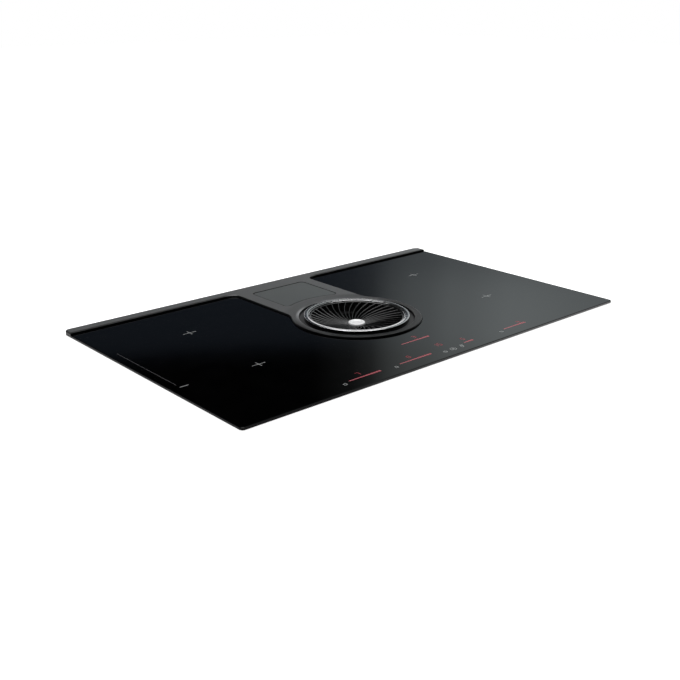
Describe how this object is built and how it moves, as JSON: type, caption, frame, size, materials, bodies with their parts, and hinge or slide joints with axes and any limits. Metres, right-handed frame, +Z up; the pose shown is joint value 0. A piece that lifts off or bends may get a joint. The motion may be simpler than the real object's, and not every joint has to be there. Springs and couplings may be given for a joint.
{
  "type": "induction cooktop with downdraft extractor",
  "caption": "Wide glass induction cooktop with a round spiral-finned downdraft grille, metal centre trim with a weighing plate, and the extractor, duct outlet and spill drawer below.",
  "frame": {"origin": "middle of the plane on which the plate's edge seal lies on the worktop, half-way along its width and depth", "axes": "+X to the user's right along the 830 mm width, +Y to the rear, +Z up"},
  "size_m": [0.83, 0.5, 0.213],
  "materials": {
    "black_glass": "polished glass-ceramic",
    "seal_rubber": "matte",
    "trim_steel": "satin, dark grey",
    "zinc_steel": "zinc coated",
    "black_plastic": "matte",
    "rim_chrome": "polished",
    "fin_black": "satin enamel",
    "cap_steel": "bright",
    "filter_black": "satin",
    "mesh_steel": "bright",
    "aluminium": "milled",
    "spring_steel": "plain",
    "winding_copper": "enamelled copper wire",
    "ferrite": "sintered",
    "insulator_felt": "pressed felt",
    "sensor_plastic": "matte",
    "board_green": "solder lacquer",
    "duct_plastic": "fine grain",
    "impeller_plastic": "matte",
    "drawer_plastic": "semi-gloss"
  },
  "bodies": {
    "cooktop": {"glass_panel": "black_glass", "worktop_seal": "seal_rubber", "centre_trim": "trim_steel", "centre_frame": "zinc_steel", "inlet_well": "black_plastic", "load_cell": "aluminium", "load_cell_bracket": "zinc_steel", "main_tray": "zinc_steel", "glass_support": "zinc_steel", "worktop_clips": "spring_steel", "ferrite_bars": "ferrite", "coil_insulators": "insulator_felt", "coil_sensors": "sensor_plastic", "coil_rails": "zinc_steel", "coil_spacers": "sensor_plastic", "control_board": "board_green", "intake_duct": "duct_plastic", "scroll_upper": "duct_plastic", "scroll_lower": "duct_plastic", "motor_bearings": "spring_steel", "motor_stator": "winding_copper", "motor_base": "aluminium", "outlet_spigot": "duct_plastic", "damper_pin": "spring_steel", "drawer_housing": "zinc_steel", "drawer_runners": "zinc_steel", "terminal_box": "duct_plastic", "terminal_block": "sensor_plastic", "terminal_cover": "duct_plastic", "cable_gland": "black_plastic", "assembly_screws": "spring_steel", "coil_winding_front_left": "winding_copper", "coil_carrier_front_left": "aluminium", "coil_winding_rear_left": "winding_copper", "coil_carrier_rear_left": "aluminium", "coil_winding_front_right": "winding_copper", "coil_carrier_front_right": "aluminium", "coil_winding_rear_right": "winding_copper", "coil_carrier_rear_right": "aluminium", "power_board_left": "board_green", "heatsink_left": "aluminium", "cooling_fan_frame_left": "black_plastic", "power_board_right": "board_green", "heatsink_right": "aluminium", "cooling_fan_frame_right": "black_plastic"},
    "grille": {"grille_rim": "rim_chrome", "grille_fins": "fin_black", "grille_cap": "cap_steel"},
    "grease_filter": {"filter_basket": "filter_black", "filter_mesh": "mesh_steel", "filter_handle": "mesh_steel"},
    "weighing_plate": {"weighing_plate": "trim_steel"},
    "blower_rotor": {"impeller": "impeller_plastic", "rotor_can": "zinc_steel", "motor_shaft": "spring_steel"},
    "cooling_rotor_left": {"cooling_fan_rotor_left": "black_plastic"},
    "cooling_rotor_right": {"cooling_fan_rotor_right": "black_plastic"},
    "flap_left": {"damper_flap_left": "impeller_plastic"},
    "flap_right": {"damper_flap_right": "impeller_plastic"},
    "spill_drawer": {"spill_drawer": "drawer_plastic"}
  },
  "joints": [
    {"name": "grille_lift", "type": "slide", "parent": "cooktop", "child": "grille", "axis": [0, 0, 1], "range_m": [0, 0.12]},
    {"name": "filter_lift", "type": "slide", "parent": "cooktop", "child": "grease_filter", "axis": [0, 0, 1], "range_m": [0, 0.11]},
    {"name": "weighing_plate_press", "type": "slide", "parent": "cooktop", "child": "weighing_plate", "axis": [0, 0, 1], "range_m": [-0.00025, 0], "stiffness_N_per_m": 30000, "springref_m": 0.0001},
    {"name": "blower_spin", "type": "hinge", "parent": "cooktop", "child": "blower_rotor", "pos_m": [-0.055, 0.099, -0.15], "axis": [0, 0, 1], "continuous": true},
    {"name": "cooling_fan_left_spin", "type": "hinge", "parent": "cooktop", "child": "cooling_rotor_left", "pos_m": [-0.145, -0.165, -0.045], "axis": [0, 0, 1], "continuous": true},
    {"name": "cooling_fan_right_spin", "type": "hinge", "parent": "cooktop", "child": "cooling_rotor_right", "pos_m": [0.145, -0.165, -0.045], "axis": [0, 0, 1], "continuous": true},
    {"name": "flap_right_swing", "type": "hinge", "parent": "cooktop", "child": "flap_right", "pos_m": [0.03432, 0.215, -0.127], "axis": [0, 0, 1], "range_deg": [0, 75]},
    {"name": "flap_left_swing", "type": "hinge", "parent": "cooktop", "child": "flap_left", "pos_m": [0.03432, 0.215, -0.127], "axis": [0, 0, 1], "range_deg": [-75, 0]},
    {"name": "drawer_slide", "type": "slide", "parent": "cooktop", "child": "spill_drawer", "axis": [0, -1, 0], "range_m": [0, 0.11]}
  ],
  "couplings": [
    {"joint": "flap_left_swing", "follows": "flap_right_swing", "ratio": -1},
    {"joint": "filter_lift", "follows": "grille_lift", "ratio": 0.9}
  ]
}
